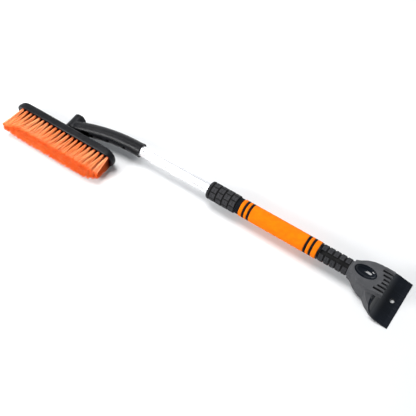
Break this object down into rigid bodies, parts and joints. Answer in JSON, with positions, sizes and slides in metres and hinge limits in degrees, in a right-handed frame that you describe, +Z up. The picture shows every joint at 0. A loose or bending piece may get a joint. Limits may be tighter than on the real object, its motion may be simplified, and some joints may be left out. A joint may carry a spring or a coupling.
{
  "type": "snow brush scraper",
  "caption": "Telescopic car snow brush: a swivelling bristle head on a bent arm, a twist-lock tube with a foam grip, and an ice scraper with claws at the other end.",
  "frame": {"origin": "centre of the object's bounding box in X and Y, at the surface it lies on", "axes": "+X along the handle towards the scraper, +Y away from the bristle tips, +Z up, square to the scraper's width"},
  "size_m": [0.8959, 0.162, 0.0562],
  "materials": {
    "aluminium": "satin anodised",
    "steel": "zinc plated",
    "black_plastic": "satin moulded",
    "black_rubber": "matte moulded",
    "grey_plastic": "matte moulded, charcoal grey",
    "gloss_black": "polished",
    "orange_foam": "closed-cell foam",
    "orange_bristle": "flagged plastic filament"
  },
  "bodies": {
    "handle": {"outer_tube": "aluminium", "lock_bush": "black_plastic", "lock_collet": "black_plastic", "collar_stop_ring": "black_plastic", "foam_grip": "orange_foam", "grip_band_1": "black_rubber", "grip_band_2": "black_rubber", "grip_band_3": "black_rubber", "grip_band_4": "black_rubber", "grip_end_ring": "black_plastic", "neck_grip": "black_rubber", "head_pin": "steel", "scraper_head": "grey_plastic", "thumb_rest": "gloss_black", "scraper_blade": "gloss_black", "blade_screw_1": "steel", "blade_screw_2": "steel", "blade_screw_3": "steel"},
    "lock_collar": {"lock_collar": "black_rubber"},
    "extension": {"inner_tube": "aluminium", "guide_plug": "black_plastic", "tube_rivet": "steel", "arm_back_shell": "black_plastic", "arm_front_shell": "black_plastic", "arm_screw_1": "steel", "arm_screw_2": "steel", "arm_screw_3": "steel", "swivel_housing": "black_plastic"},
    "brush_head": {"brush_block": "black_plastic", "bristle_row_1": "orange_bristle", "bristle_row_2": "orange_bristle", "bristle_row_3": "orange_bristle", "bristle_row_4": "orange_bristle", "bristle_row_5": "orange_bristle", "swivel_spindle": "black_plastic", "lock_ring": "steel", "spindle_washer": "steel", "spindle_screw": "steel"},
    "release_button": {"release_button": "black_plastic", "button_spring": "steel"}
  },
  "joints": [
    {"name": "collar_twist", "type": "hinge", "parent": "handle", "child": "lock_collar", "pos_m": [0.05, 0.0265, 0.0359], "axis": [1, 0, 0], "range_deg": [0, 90]},
    {"name": "extension_slide", "type": "slide", "parent": "handle", "child": "extension", "axis": [1, 0, 0], "range_m": [0, 0.15]},
    {"name": "brush_swivel", "type": "hinge", "parent": "extension", "child": "brush_head", "pos_m": [-0.3105, -0.0125, 0.0279], "axis": [0, 1, 0], "range_deg": [-90, 90]},
    {"name": "button_press", "type": "slide", "parent": "extension", "child": "release_button", "axis": [0, -1, 0], "range_m": [0, 0.003], "stiffness_N_per_m": 400, "springref_m": -0.002}
  ]
}
